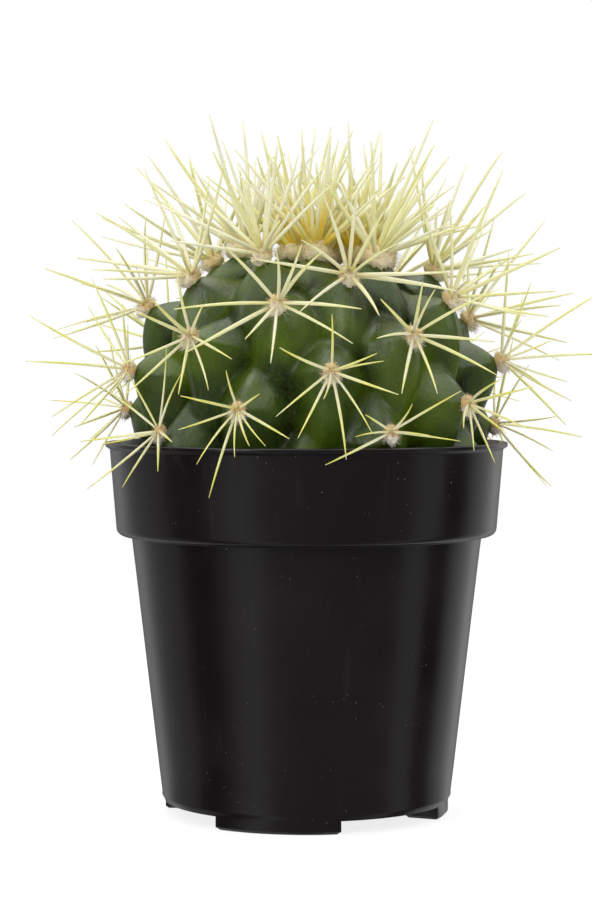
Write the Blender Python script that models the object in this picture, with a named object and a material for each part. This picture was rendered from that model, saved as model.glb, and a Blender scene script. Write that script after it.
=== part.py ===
"""Young golden-spined ball cactus in a nursery pot.

Metres, +Z up. The base of the pot's feet is the ground, and the front of the plant faces -Y.
Everything is modelled about the pot's axis. At the end, one empty carries the whole plant to where
its box stands centred over the origin.
"""

import math
import random

import bmesh
import bpy
from mathutils import Matrix, Vector, geometry
from mathutils.bvhtree import BVHTree

MM = 0.001
GAP = 0.0003

# ---- pot: driving sizes
POT_HEIGHT = 60.0 * MM
LIP_RADIUS = 32.5 * MM
LIP_PROUD = 0.65 * MM
LIP_THICKNESS = 0.7 * MM
BAND_HEIGHT = 15.0 * MM
BAND_TAPER = 1.1 * MM
BAND_CORNER = 1.2 * MM
LEDGE_WIDTH = 2.5 * MM
BASE_RADIUS = 23.4 * MM
BASE_BAND = 0.9 * MM
BASE_STEP = 0.4 * MM
WALL = 0.8 * MM
FLOOR = 0.8 * MM

# ---- pot: feet and drain holes
FOOT_HEIGHT = 2.1 * MM
FOOT_WIDTH = 5.6 * MM
FOOT_TAPER = 0.9 * MM
FOOT_SPANS = ((-38.5, 14), (65, 140), (190, 266))
DRAIN_ANGLES = (40, 165, 292.5)
DRAIN_RADIUS = 3.5 * MM
DRAIN_CIRCLE = 13.0 * MM
MIDDLE_DRAIN_RADIUS = 4.5 * MM
POT_SEGMENTS = 72
CORNER_STEPS = 3
DRAIN_SEGMENTS = 16
DRAIN_CUT_DEPTH = 4 * FLOOR
TOUCH = 0.1 * MM

# ---- soil
SOIL_DEPTH_BELOW_LIP = 5.0 * MM
SOIL_SEGMENTS = 48
NECK_ROWS = 6
NECK_CUT_ABOVE = 2.0 * MM

# ---- stem: the dome that the tubercles' noses touch
STEM_RADIUS = 30.4 * MM
DOME_HEIGHT = 23.8 * MM
EQUATOR_ABOVE_LIP = 9.1 * MM
CROWN_DIP = 3.6 * MM
CROWN_DIP_ANGLE = math.radians(20)
NECK_RADIUS = 15.0 * MM
STEM_BASE_BELOW_LIP = 14.0 * MM
NECK_START_BELOW_LIP = 1.5 * MM
STEM_CLEARANCE = 1.0 * MM
STEM_CENTRE = (-0.1 * MM, -0.4 * MM)
LEAN_RIGHT = math.radians(3.66)
LEAN_FRONT = math.radians(1.26)
LEAN_PIVOT_BELOW_LIP = 10.0 * MM

# ---- the spiral that the tubercles grow in
GROWTH_ANGLE = math.radians(137.8)
FIRST_ANGLE = math.radians(22.4)
FIRST_STEP = 0.634
DOME_STEPS = 29.15
SIDE_STEP = 1.356 * MM
FRONT_CROWDING = 0.163
TUBERCLES = 37

# ---- one tubercle, as shares of the spacing between neighbours
NOSE_HEIGHT = 0.44
NOSE_HALF_WIDTH = 0.50
NOSE_SHELF = 0.56
NOSE_CHIN = 1.20
SIDE_ROUNDNESS = 1.5
SHELF_ROUNDNESS = 1.25
CHIN_ROUNDNESS = 1.15
CREASE_ROUNDING = 0.9 * MM
SPARE_TUBERCLES = 4
REACH_ACROSS = 1.5
REACH_ALONG = 2.0
CROWN_WIDTH = 3.0 * MM
STEM_COLUMNS = 144
STEM_ROWS = 72
STEM_THINNING = 0.2
ROW_SPREAD = 0.93

# ---- wool pads and spines
PAD_WIDTH = 2.8 * MM
PAD_HEIGHT = 3.6 * MM
PAD_THICKNESS = 1.6 * MM
PAD_START_DEPTH = 2.5 * MM
SEATING_STEP = 0.05 * MM
SEATING_STEPS = 160
YOUNG_PAD = 0.72
FULL_PAD_STEP = 8
PAD_SUBDIVISIONS = 2
PAD_TILT = 0.87
YOUNG_LENGTH = 19.5 * MM
OLD_LENGTH = 13.5 * MM
RADIAL_SPINES = 9
YOUNG_CENTRALS = 3
YOUNG_SPLAY = math.radians(40)
OLD_SPLAY = math.radians(66)
CENTRAL_SPLAY = math.radians(18)
FULL_LENGTH_AGE = 1.6
SPLAY_AGE_POWER = 1.5
CENTRALS_AGE = 1.3
BUD_STEPS = 3
BUD_LENGTH = 0.55
BUD_LENGTH_STEP = 0.15
START_JITTER = 0.3
FAN_JITTER = 0.22
SPLAY_JITTER = (0.85, 1.12)
LENGTH_JITTER = (0.72, 1.0)
CENTRAL_FAN_JITTER = 0.2
CENTRAL_SPLAY_JITTER = (0.6, 1.3)
CENTRAL_LENGTH_JITTER = (0.9, 1.12)
SPINE_RADIUS = 0.5 * MM
SPINE_CLEARANCE = 0.25 * MM
SPINE_START = 2.0 * MM
CHECK_STEP = 1.0 * MM
SWERVE_STEP = math.radians(5.5)
SWERVE_RINGS = 6
SWERVE_WAYS = 8
SHORTENINGS = (1.0, 0.8, 0.6)
SEED = 20

# ---- the clusters that face the front: each spine's direction on a clock face in degrees, 0 up and
# ---- 90 to the right, and its reach across the view in mm
FRONT_LENGTH = 0.95
LEAST_DEPTH = 0.25
GREATEST_SPLAY = math.radians(78)
FRONT_FANS = {
    14: ((-58, 8), (-20, 11), (5, 12), (28, 10), (59, 8),
         (90, 14.5), (100, 15.5), (149, 7.5), (-135, 11), (-83, 13.5)),
    19: ((-45, 11.5), (0, 6.5), (26, 8), (43, 9.5), (97, 12),
         (125, 14), (184, 9), (-144, 7), (-120, 15), (-98, 13.5)),
    22: ((-50, 7), (4, 7), (17, 6.5), (61, 13.5), (97, 10.5),
         (118, 12.5), (164, 9), (-164, 9), (-98, 6)),
    24: ((-65, 8), (-46, 6.5), (-9, 9), (31, 5), (118, 7.5),
         (157, 8.5), (-175, 8.5), (-135, 12), (-117, 10)),
    27: ((-67, 8), (-1, 7.5), (66, 6.5), (82, 7), (109, 9.5),
         (139, 10), (171, 12.5), (-161, 4), (-152, 10.5), (-128, 10)),
    30: ((41, 5), (75, 8.5), (114, 8), (131, 6),
         (161, 8.5), (181, 6.5), (-150, 4)),
    32: ((-75, 7.5), (-13, 5.5), (55, 4.5), (118, 8.5), (138, 6.5),
         (155, 5), (176, 6.5), (-163, 13), (-145, 9), (-107, 8)),
    35: ((-55, 5), (29, 5), (57, 11), (88, 5),
         (95, 9), (-114, 11), (-90, 5.5)),
}


# ------------------------------------------------------------------ helpers
def new_object(name, mesh, material, parent):
    """Put a mesh in the scene as a named piece with its finish."""
    piece = bpy.data.objects.new(name, mesh)
    bpy.context.scene.collection.objects.link(piece)
    piece.data.materials.append(material)
    piece.parent = parent
    return piece


def finish(name, colour, roughness):
    """A plain Principled material."""
    material = bpy.data.materials.new(name)
    material.use_nodes = True
    shader = material.node_tree.nodes["Principled BSDF"]
    shader.inputs["Base Color"].default_value = (*colour, 1.0)
    shader.inputs["Roughness"].default_value = roughness
    shader.inputs["Metallic"].default_value = 0.0
    return material


def compass(angle, radius, height):
    """The point at this angle about the pot's axis. Angle 0 faces the front, and it grows to the right."""
    return Vector((radius * math.sin(angle), -radius * math.cos(angle), height))


def turned(name, profile, segments, closed_loop):
    """Turn a profile of (radius, height) about the axis. A profile that isn't a loop ends on the axis."""
    bm = bmesh.new()
    rings = []
    for radius, height in profile:
        if radius == 0.0:
            rings.append([bm.verts.new((0.0, 0.0, height))])
            continue
        steps = range(segments)
        rings.append([bm.verts.new(compass(math.tau * i / segments, radius, height)) for i in steps])
    pairs = list(zip(rings, rings[1:]))
    if closed_loop:
        pairs.append((rings[-1], rings[0]))
    for ring, following in pairs:
        for i in range(segments):
            j = (i + 1) % segments
            corners = [ring[i % len(ring)], ring[j % len(ring)]]
            corners += [following[j % len(following)], following[i % len(following)]]
            unique = list(dict.fromkeys(corners))
            if len(unique) > 2:
                bm.faces.new(unique)
    bmesh.ops.recalc_face_normals(bm, faces=bm.faces)
    mesh = bpy.data.meshes.new(name)
    bm.to_mesh(mesh)
    bm.free()
    return mesh


def smooth(mesh, sharp_degrees):
    """Shade a round piece smooth, and keep its real edges."""
    mesh.shade_smooth()
    mesh.set_sharp_from_angle(angle=math.radians(sharp_degrees))


def cut(piece, cutter):
    """Take the cutter's shape out of the piece, and leave the cutter as a guide."""
    cutter.hide_render = True
    cutter.display_type = "WIRE"
    modifier = piece.modifiers.new("cut_" + cutter.name, "BOOLEAN")
    modifier.operation = "DIFFERENCE"
    modifier.solver = "EXACT"
    modifier.object = cutter


# ------------------------------------------------------------------ pot
def band_radius(height):
    """The rim band's outer radius at a height: it leans in towards its lower edge."""
    share = (POT_HEIGHT - height) / BAND_HEIGHT
    return LIP_RADIUS - LIP_PROUD - BAND_TAPER * share


def body_radius(height):
    """The body's outer radius at a height, between the base and the ledge under the band."""
    ledge = POT_HEIGHT - BAND_HEIGHT
    top = band_radius(ledge) - LEDGE_WIDTH
    low = FOOT_HEIGHT + BASE_BAND
    return BASE_RADIUS + (top - BASE_RADIUS) * (height - low) / (ledge - low)


def pot_profile():
    """Down the outside, in along the base, out through the middle drain and up the inside."""
    ledge = POT_HEIGHT - BAND_HEIGHT
    lip_low = POT_HEIGHT - LIP_THICKNESS
    foot = band_radius(ledge)
    points = [(LIP_RADIUS, POT_HEIGHT), (LIP_RADIUS, lip_low)]
    points.append((band_radius(lip_low - LIP_PROUD), lip_low - LIP_PROUD))
    for step in range(CORNER_STEPS + 1):
        turn = math.pi / 2 * step / CORNER_STEPS
        out = foot - BAND_CORNER * (1 - math.cos(turn))
        points.append((out, ledge + BAND_CORNER * (1 - math.sin(turn))))
    points.append((body_radius(ledge), ledge))
    low = FOOT_HEIGHT + BASE_BAND
    points += [(BASE_RADIUS, low), (BASE_RADIUS - BASE_STEP, FOOT_HEIGHT)]
    points.append((BASE_RADIUS - BASE_STEP - FOOT_WIDTH, FOOT_HEIGHT))
    points.append((MIDDLE_DRAIN_RADIUS, FOOT_HEIGHT))
    floor_top = FOOT_HEIGHT + FLOOR
    points += [(MIDDLE_DRAIN_RADIUS, floor_top), (body_radius(floor_top) - WALL, floor_top)]
    points.append((body_radius(ledge) - WALL, ledge + WALL))
    points.append((foot - BAND_CORNER - WALL, ledge + WALL))
    points.append((foot - WALL, ledge + BAND_CORNER + WALL))
    points.append((band_radius(POT_HEIGHT) - WALL, POT_HEIGHT))
    return points


def lower_feet(mesh):
    """Extrude the base's outer ring down into feet, over the spans that they cover."""
    bm = bmesh.new()
    bm.from_mesh(mesh)
    outer = BASE_RADIUS - BASE_STEP
    middle = outer - FOOT_WIDTH / 2
    ring = []
    for face in bm.faces:
        centre = face.calc_center_median()
        reach = math.hypot(centre.x, centre.y)
        on_base = abs(centre.z - FOOT_HEIGHT) < TOUCH
        if not on_base or abs(reach - middle) > FOOT_WIDTH / 4:
            continue
        angle = math.degrees(math.atan2(centre.x, -centre.y)) % 360
        if any(0 < (angle - start) % 360 < (end - start) for start, end in FOOT_SPANS):
            ring.append(face)
    made = bmesh.ops.extrude_face_region(bm, geom=ring)["geom"]
    bmesh.ops.delete(bm, geom=ring, context="FACES_ONLY")
    for vert in made:
        if not isinstance(vert, bmesh.types.BMVert):
            continue
        reach = math.hypot(vert.co.x, vert.co.y)
        angle = math.degrees(math.atan2(vert.co.x, -vert.co.y)) % 360
        start, end = min(FOOT_SPANS, key=lambda span: abs((angle - sum(span) / 2 + 180) % 360 - 180))
        from_middle = (angle - (start + end) / 2 + 180) % 360 - 180
        end_taper = math.degrees(FOOT_TAPER / outer) / ((end - start) / 2)
        inwards = FOOT_TAPER if reach > middle else -FOOT_TAPER
        angle = math.radians((start + end) / 2 + from_middle * (1 - end_taper))
        vert.co = compass(angle, reach - inwards, 0.0)
    bmesh.ops.recalc_face_normals(bm, faces=bm.faces)
    bm.to_mesh(mesh)
    bm.free()


def make_pot(parent):
    """The moulded pot with its feet and its drain holes."""
    mesh = turned("pot", pot_profile(), POT_SEGMENTS, closed_loop=True)
    lower_feet(mesh)
    smooth(mesh, 30)
    pot = new_object("pot", mesh, finish("black_plastic", (0.012, 0.011, 0.013), 0.35), parent)
    for number, degrees in enumerate(DRAIN_ANGLES):
        place = compass(math.radians(degrees), DRAIN_CIRCLE, FOOT_HEIGHT + FLOOR / 2)
        bpy.ops.mesh.primitive_cylinder_add(
            vertices=DRAIN_SEGMENTS, radius=DRAIN_RADIUS, depth=DRAIN_CUT_DEPTH, location=place)
        cutter = bpy.context.active_object
        cutter.name = f"drain_cutter_{number + 1}"
        cutter.parent = parent
        cut(pot, cutter)
    return pot


# ------------------------------------------------------------------ stem
def lean():
    """The stem's own frame: set off the pot's axis, and leaning to the right and a little forward."""
    pivot = Vector((*STEM_CENTRE, POT_HEIGHT - LEAN_PIVOT_BELOW_LIP))
    turn = Matrix.Rotation(LEAN_RIGHT, 4, "Y") @ Matrix.Rotation(LEAN_FRONT, 4, "X")
    return Matrix.Translation(pivot) @ turn @ Matrix.Translation((0.0, 0.0, -pivot.z))


def dome(step):
    """Radius and height of the dome after this many steps of growth from the crown."""
    equator = POT_HEIGHT + EQUATOR_ABOVE_LIP
    phi = min(step / DOME_STEPS, 1.0) * math.pi / 2
    dip = CROWN_DIP * math.exp(-((phi / CROWN_DIP_ANGLE) ** 2))
    below = max(step - DOME_STEPS, 0.0) * SIDE_STEP
    return STEM_RADIUS * math.sin(phi), equator + DOME_HEIGHT * math.cos(phi) - dip - below


def growth_angle(number):
    """The angle about the stem of one tubercle: a golden spiral, a little crowded to the front."""
    angle = FIRST_ANGLE + number * GROWTH_ANGLE
    return angle - FRONT_CROWDING * math.sin(angle)


def tubercle_places():
    """For each tubercle: its angle, its step from the crown, its dome radius and its spacing."""
    places = []
    for number in range(TUBERCLES + SPARE_TUBERCLES):
        step = FIRST_STEP + number
        radius = dome(step)[0]
        spacing = math.sqrt(math.tau * radius * SIDE_STEP)
        places.append((growth_angle(number), step, radius, spacing))
    return places


def rise(angle, step, places):
    """How far the surface stands below the dome here. Each tubercle is a blunt chin with a shelf on top."""
    radius = dome(step)[0]
    total = 0.0
    for nose_angle, nose_step, nose_radius, spacing in places:
        turn = (angle - nose_angle + math.pi) % math.tau - math.pi
        across = abs(turn) * (radius + nose_radius) / 2 / spacing
        up = (nose_step - step) * SIDE_STEP / spacing
        if across > REACH_ACROSS or abs(up) > REACH_ALONG:
            continue
        fall = (across / NOSE_HALF_WIDTH) ** SIDE_ROUNDNESS
        fall += (up / NOSE_SHELF) ** SHELF_ROUNDNESS if up > 0 else (-up / NOSE_CHIN) ** CHIN_ROUNDNESS
        total += math.exp(-NOSE_HEIGHT * spacing * fall / CREASE_ROUNDING)
    deepest = NOSE_HEIGHT * math.sqrt(math.tau * max(radius, CROWN_WIDTH) * SIDE_STEP)
    total += math.exp(-deepest / CREASE_ROUNDING)
    return CREASE_ROUNDING * math.log(total)


def neck_radius(height):
    """The smooth neck that stands in the soil narrows towards its base."""
    top = POT_HEIGHT - NECK_START_BELOW_LIP
    low = POT_HEIGHT - STEM_BASE_BELOW_LIP
    share = min(max((height - low) / (top - low), 0.0), 1.0)
    return NECK_RADIUS + (STEM_RADIUS * (1 - NOSE_HEIGHT / 2) - NECK_RADIUS) * math.sqrt(share)


def stem_point(angle, step, places):
    """One point of the stem's skin, in the stem's own frame."""
    radius, height = dome(step)
    phi = min(step / DOME_STEPS, 1.0) * math.pi / 2
    depth = rise(angle, step, places)
    reach = max(radius + depth * math.sin(phi), 0.0)
    if height < POT_HEIGHT - NECK_START_BELOW_LIP:
        reach = min(reach, neck_radius(height))
    return compass(angle, reach, height + depth * math.cos(phi))


def inside_lip(spot):
    """A point of the leaning stem, drawn in where it would come too near the pot's lip."""
    limit = band_radius(min(spot.z, POT_HEIGHT)) - WALL - STEM_CLEARANCE + max(spot.z - POT_HEIGHT, 0.0)
    share = min(1.0, limit / max(math.hypot(spot.x, spot.y), MM))
    return Vector((spot.x * share, spot.y * share, spot.z))


def step_at(height):
    """The step of growth at a height on the side below the equator."""
    return DOME_STEPS + (POT_HEIGHT + EQUATOR_ABOVE_LIP - height) / SIDE_STEP


def make_stem(parent, places, frame):
    """The whole body of the plant, from the sunken crown to the neck in the soil."""
    last = step_at(POT_HEIGHT - STEM_BASE_BELOW_LIP)
    bm = bmesh.new()
    crown = bm.verts.new(frame @ stem_point(0.0, 0.0, places))
    rings = []
    for row in range(1, STEM_ROWS + 1):
        step = last * (row / STEM_ROWS) ** ROW_SPREAD
        ring = []
        for column in range(STEM_COLUMNS):
            angle = math.tau * column / STEM_COLUMNS
            ring.append(bm.verts.new(inside_lip(frame @ stem_point(angle, step, places))))
        rings.append(ring)
    for column in range(STEM_COLUMNS):
        following = (column + 1) % STEM_COLUMNS
        bm.faces.new((crown, rings[0][column], rings[0][following]))
        for ring, lower in zip(rings, rings[1:]):
            bm.faces.new((ring[column], lower[column], lower[following], ring[following]))
    bm.faces.new(list(reversed(rings[-1])))
    bmesh.ops.triangulate(bm, faces=[face for face in bm.faces if len(face.verts) > 3])
    bmesh.ops.recalc_face_normals(bm, faces=bm.faces)
    mesh = bpy.data.meshes.new("stem")
    bm.to_mesh(mesh)
    bm.free()
    smooth(mesh, 60)
    stem = new_object("stem", mesh, finish("stem_skin", (0.035, 0.075, 0.012), 0.45), parent)
    thinning = stem.modifiers.new("thinning", "DECIMATE")
    thinning.ratio = STEM_THINNING
    bpy.context.view_layer.update()
    return BVHTree.FromObject(stem, bpy.context.evaluated_depsgraph_get())


# ------------------------------------------------------------------ soil
def make_soil(parent, frame):
    """The potting mix: it fills the pot's inside, and the stem's neck sits in a hollow in its top."""
    ledge = POT_HEIGHT - BAND_HEIGHT
    low = FOOT_HEIGHT + FLOOR + GAP
    top = POT_HEIGHT - SOIL_DEPTH_BELOW_LIP
    shelf = ledge + WALL + GAP
    inner_band = band_radius(ledge) - WALL - GAP
    corner = shelf + BAND_CORNER
    profile = [(0.0, low), (body_radius(low) - WALL - GAP, low)]
    profile += [(body_radius(ledge) - WALL - GAP, shelf), (inner_band - BAND_CORNER, shelf)]
    profile += [(inner_band, corner + GAP), (band_radius(top) - WALL - GAP, top), (0.0, top)]
    mesh = turned("soil", profile, SOIL_SEGMENTS, closed_loop=False)
    smooth(mesh, 30)
    soil = new_object("soil", mesh, finish("potting_mix", (0.018, 0.013, 0.009), 0.95), parent)
    base = POT_HEIGHT - STEM_BASE_BELOW_LIP - GAP
    neck = [(0.0, base)]
    for row in range(NECK_ROWS + 1):
        height = base + (top + NECK_CUT_ABOVE - base) * row / NECK_ROWS
        neck.append((neck_radius(height + GAP) + 2 * GAP, height))
    neck.append((0.0, neck[-1][1]))
    cutter = new_object("neck_cutter", turned("neck_cutter", neck, SOIL_SEGMENTS, closed_loop=False),
                        soil.data.materials[0], parent)
    cutter.matrix_world = frame
    cut(soil, cutter)


# ------------------------------------------------------------------ spine clusters
def young(step):
    """1 at the crown, falling to 0 at the lowest tubercle."""
    return max(0.0, 1.0 - step / (FIRST_STEP + TUBERCLES - 1))


def pad_frame(angle, step, frame):
    """The wool pad's own frame on the tubercle's nose: X across, Y up the stem and Z outwards."""
    radius, height = dome(step)
    phi = min(step / DOME_STEPS, 1.0) * math.pi / 2
    facing = math.pi / 2 - PAD_TILT * phi
    outwards = compass(angle, math.cos(facing), math.sin(facing))
    upwards = compass(angle, -math.sin(facing), math.cos(facing))
    across = upwards.cross(outwards)
    turn = Matrix((across, upwards, outwards)).transposed().to_4x4()
    return frame @ Matrix.Translation(compass(angle, radius, height)) @ turn


def pad_shape(place, size):
    """A wool pad: a flattened ball of small triangles, any of which a spine can grow from."""
    bm = bmesh.new()
    bmesh.ops.create_icosphere(bm, subdivisions=PAD_SUBDIVISIONS, radius=0.5)
    stretch = Matrix.Diagonal((PAD_WIDTH * size, PAD_HEIGHT * size, PAD_THICKNESS * size, 1.0))
    bmesh.ops.transform(bm, matrix=place @ stretch, verts=bm.verts)
    return bm


def touches_skin(spot, skin, gap):
    """Whether a point is inside the stem, or nearer to its skin than the gap."""
    near, normal, _, distance = skin.find_nearest(spot)
    return distance < gap or (spot - near).dot(normal) < 0


def seat_pad(bm, place, skin):
    """Slide the pad out until it sits just clear of the stem's skin, and up if it meets the pot's lip."""
    outwards = (place.to_3x3() @ Vector((0.0, 0.0, 1.0))).normalized()
    slide = outwards * -PAD_START_DEPTH
    bmesh.ops.translate(bm, vec=slide, verts=bm.verts)
    for _ in range(SEATING_STEPS):
        if any(touches_skin(vert.co, skin, GAP) for vert in bm.verts):
            move = outwards * SEATING_STEP
        elif any(not clear_of_pot(vert.co, GAP) for vert in bm.verts):
            move = Vector((0.0, 0.0, SEATING_STEP))
        else:
            break
        bmesh.ops.translate(bm, vec=move, verts=bm.verts)
        slide += move
    return place.translation + slide


def spine_length(step):
    """How long the spines of a pad grow: shorter on old pads, and shortest in the buds of the crown."""
    length = OLD_LENGTH + (YOUNG_LENGTH - OLD_LENGTH) * min(1.0, FULL_LENGTH_AGE * young(step))
    if step < BUD_STEPS:
        length *= BUD_LENGTH + BUD_LENGTH_STEP * step
    return length


def wanted_spines(step, dice):
    """The spines that a pad of this age grows: fan angle, splay from the pad's axis, and length."""
    age = young(step)
    length = spine_length(step)
    splay = OLD_SPLAY + (YOUNG_SPLAY - OLD_SPLAY) * age ** SPLAY_AGE_POWER
    spines = []
    start = dice.uniform(-START_JITTER, START_JITTER)
    for number in range(RADIAL_SPINES):
        fan = start + math.tau * (number + dice.uniform(-FAN_JITTER, FAN_JITTER)) / RADIAL_SPINES
        tip = splay * dice.uniform(*SPLAY_JITTER)
        spines.append((fan, tip, length * dice.uniform(*LENGTH_JITTER)))
    centrals = 1 + round((YOUNG_CENTRALS - 1) * min(1.0, CENTRALS_AGE * age))
    for number in range(centrals):
        jitter = dice.uniform(-CENTRAL_FAN_JITTER, CENTRAL_FAN_JITTER)
        fan = math.pi + math.tau * (number + jitter) / centrals
        tip = CENTRAL_SPLAY * dice.uniform(*CENTRAL_SPLAY_JITTER)
        spines.append((fan, tip, length * dice.uniform(*CENTRAL_LENGTH_JITTER)))
    return spines


def front_spines(fans, step, turn):
    """The same three values for each spine of a cluster that is given as it looks from the front."""
    length = spine_length(step) * FRONT_LENGTH
    spines = []
    for clock, reach in fans:
        clock = math.radians(clock)
        reach = reach * MM
        depth = math.sqrt(max(length ** 2 - reach ** 2, (LEAST_DEPTH * reach) ** 2))
        way = Vector((reach * math.sin(clock), -depth, reach * math.cos(clock)))
        local = turn.inverted() @ way
        splay = min(math.acos(local.z / local.length), GREATEST_SPLAY)
        spines.append((math.atan2(local.x, local.y), splay, way.length))
    return spines


def clear_of_pot(spot, radius):
    """Whether a ball here stays outside the pot's lip, or well inside it and above the soil."""
    if spot.z > POT_HEIGHT + radius + GAP:
        return True
    reach = math.hypot(spot.x, spot.y)
    return reach > LIP_RADIUS + radius + GAP and spot.z > POT_HEIGHT / 2


def clear_spine(root, tip, own, skin, spines, pads):
    """Whether a spine from root to tip keeps clear of the stem, the pot, and all other clusters."""
    for pad_number, centre in enumerate(pads):
        if pad_number == own:
            continue
        near, share = geometry.intersect_point_line(centre, root, tip)
        near = root.lerp(tip, min(max(share, 0.0), 1.0))
        if (near - centre).length < PAD_HEIGHT / 2 + SPINE_RADIUS + SPINE_CLEARANCE:
            return False
    for other_own, other_root, other_tip in spines:
        if other_own == own:
            continue
        if not apart(root, tip, other_root, other_tip):
            return False
    length = (tip - root).length
    checks = int(length / CHECK_STEP)
    for number in range(1, checks + 1):
        share = number / checks
        spot = root.lerp(tip, share)
        radius = SPINE_RADIUS * (1 - share)
        if not clear_of_pot(spot, radius):
            return False
        if share * length < SPINE_START:
            continue
        if touches_skin(spot, skin, radius + GAP):
            return False
    return True


def apart(a, b, c, d):
    """Whether two tapered spines, a to b and c to d, keep their clearance where they pass closest."""
    ab, cd, ac = b - a, d - c, a - c
    aa, bb, ab_cd = ab.dot(ab), cd.dot(cd), ab.dot(cd)
    across = aa * bb - ab_cd * ab_cd
    s = 0.0
    if across > 1e-18:
        s = min(max((ab_cd * cd.dot(ac) - bb * ab.dot(ac)) / across, 0.0), 1.0)
    t = (ab_cd * s + cd.dot(ac)) / bb
    if t < 0.0 or t > 1.0:
        t = min(max(t, 0.0), 1.0)
        s = min(max((ab_cd * t - ab.dot(ac)) / aa, 0.0), 1.0)
    distance = (a + ab * s - c - cd * t).length
    return distance > SPINE_RADIUS * (2 - s - t) + SPINE_CLEARANCE


def swerves():
    """Small turns to try, from none outwards, until a spine finds a clear way."""
    turns = [(0.0, 0.0)]
    for ring in range(1, SWERVE_RINGS + 1):
        for number in range(SWERVE_WAYS):
            turn = math.tau * (number + ring / 2) / SWERVE_WAYS
            reach = SWERVE_STEP * ring
            turns.append((reach * math.cos(turn), reach * math.sin(turn)))
    return turns


def direction(turn, fan, splay, swerve):
    """A spine's direction. Fan 0 points up the stem, and splay leans it away from the pad's axis."""
    fan += swerve[0] / max(math.sin(splay), 0.3)
    splay = max(splay + swerve[1], 0.0)
    flat = Vector((math.sin(fan), math.cos(fan), 0.0)) * math.sin(splay)
    return (turn @ (flat + Vector((0.0, 0.0, math.cos(splay))))).normalized()


def grow_spines(bm, own, place, centre, step, skin, spines, pads, dice):
    """Grow each spine from the triangle of the pad that faces its way."""
    turn = place.to_3x3()
    free = {face.index: (face.calc_center_median() - centre).normalized() for face in bm.faces}
    grown = []
    wanted = wanted_spines(step, dice)
    if own + 1 in FRONT_FANS:
        wanted = front_spines(FRONT_FANS[own + 1], step, turn)
    for fan, splay, length in wanted:
        found = None
        for shorten in SHORTENINGS:
            for swerve in swerves():
                way = direction(turn, fan, splay, swerve)
                face = max(free, key=lambda number: free[number].dot(way))
                root = centre + free[face] * PAD_THICKNESS / 2
                tip = root + way * length * shorten
                if clear_spine(root, tip, own, skin, spines, pads):
                    found = (face, tip)
                    break
            if found:
                break
        if not found:
            continue
        face, tip = found
        spines.append((own, centre + free[face] * PAD_THICKNESS / 2, tip))
        del free[face]
        grown.append((face, tip))
    bm.faces.ensure_lookup_table()
    faces = [bm.faces[face] for face, _ in grown]
    for face, (_, tip) in zip(faces, grown):
        point = bmesh.ops.poke(bm, faces=[face])["verts"][0]
        point.co = tip


def make_clusters(parent, places, frame, skin):
    """One cluster on each tubercle, from the crown down."""
    dice = random.Random(SEED)
    material = finish("spine_straw", (0.72, 0.68, 0.36), 0.45)
    shapes = []
    for number in range(TUBERCLES):
        angle, step, _, _ = places[number]
        place = pad_frame(angle, step, frame)
        size = YOUNG_PAD + (1 - YOUNG_PAD) * min(1.0, step / FULL_PAD_STEP)
        bm = pad_shape(place, size)
        centre = seat_pad(bm, place, skin)
        shapes.append((bm, place, centre, step))
    pads = [centre for _, _, centre, _ in shapes]
    spines = []
    for number in reversed(range(TUBERCLES)):
        bm, place, centre, step = shapes[number]
        bm.faces.ensure_lookup_table()
        bm.faces.index_update()
        grow_spines(bm, number, place, centre, step, skin, spines, pads, dice)
        bmesh.ops.triangulate(bm, faces=bm.faces)
        bmesh.ops.recalc_face_normals(bm, faces=bm.faces)
        name = f"spine_cluster_{number + 1:02d}"
        mesh = bpy.data.meshes.new(name)
        bm.to_mesh(mesh)
        bm.free()
        new_object(name, mesh, material, parent)
    print("spines grown:", len(spines))


# ------------------------------------------------------------------ the whole plant
def stand_on_origin(root):
    """Move the plant so that its box stands centred over the origin, with its feet on the ground."""
    bpy.context.view_layer.update()
    corners = []
    for piece in root.children:
        if piece.hide_render:
            continue
        corners += [piece.matrix_world @ vert.co for vert in piece.data.vertices]
    middle_x = (min(c.x for c in corners) + max(c.x for c in corners)) / 2
    middle_y = (min(c.y for c in corners) + max(c.y for c in corners)) / 2
    root.location = (-middle_x, -middle_y, 0.0)
    bpy.context.view_layer.update()
    print("pot axis at", round(-middle_x / MM, 3), round(-middle_y / MM, 3), "mm")


def main():
    """Clear the scene, then build the plant from the pot up."""
    for old in list(bpy.data.objects):
        bpy.data.objects.remove(old, do_unlink=True)
    root = bpy.data.objects.new("plant", None)
    bpy.context.scene.collection.objects.link(root)
    frame = lean()
    places = tubercle_places()
    make_pot(root)
    make_soil(root, frame)
    skin = make_stem(root, places, frame)
    make_clusters(root, places, frame, skin)
    stand_on_origin(root)


main()
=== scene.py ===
# %% [markdown]
# # A young ball cactus in its nursery pot
# This lesson dresses a fixed CAD frame: a black plastic pot, potting mix, a green stem with spiral
# rows of blunt tubercles, and a wool pad with straw-coloured spines on each tubercle.
# The CAD pieces are plain. Each is replaced here by a finely shaped one in the same place.

# %% Load the frame
import math
import random

import bpy
import numpy as np
from mathutils import Matrix, Vector, noise


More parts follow.
